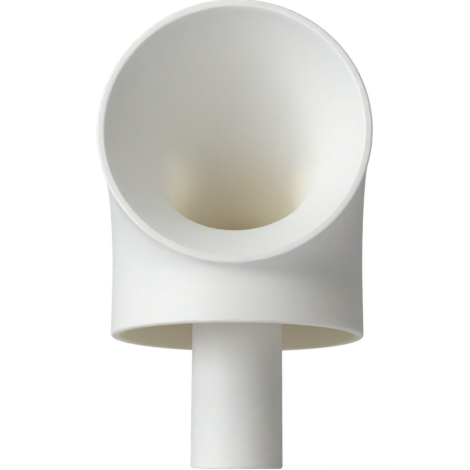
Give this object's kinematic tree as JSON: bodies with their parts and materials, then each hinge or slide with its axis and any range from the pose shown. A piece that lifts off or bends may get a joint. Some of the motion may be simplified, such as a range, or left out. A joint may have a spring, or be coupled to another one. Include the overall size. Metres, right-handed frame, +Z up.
{
  "type": "elbow-mouthed buchner funnel",
  "caption": "White moulded filter funnel with a round mouth facing sideways on an elbow, an open skirt below and a straight round stem hanging through the skirt.",
  "frame": {"origin": "centre of the stem's lower end, on the plane that the funnel stands on", "axes": "+Z up the stem's axis, the mouth faces -Y, and X runs across the mouth"},
  "size_m": [0.07, 0.0735, 0.1195],
  "materials": {
    "shell": "matte, milky white moulded polypropylene",
    "bowl": "matte, milky white moulded polypropylene with a faint flow line",
    "stem": "matte, milky white moulded polypropylene",
    "plate": "matte white perforated plate",
    "seal": "soft translucent white silicone"
  },
  "bodies": {
    "stem": {"drip_stem": "stem", "stem_o_ring": "seal"},
    "housing": {"outer_shell": "shell", "bowl_liner": "bowl", "throat_hub": "shell", "neck_gasket": "seal", "plate_seal": "seal"},
    "plate": {"filter_plate": "plate"}
  },
  "joints": [
    {"name": "housing_lift", "type": "slide", "parent": "stem", "child": "housing", "axis": [0, 0, 1], "range_m": [0, 0.03]},
    {"name": "plate_lift", "type": "slide", "parent": "housing", "child": "plate", "axis": [0, 0, 1], "range_m": [0, 0.0035]}
  ]
}
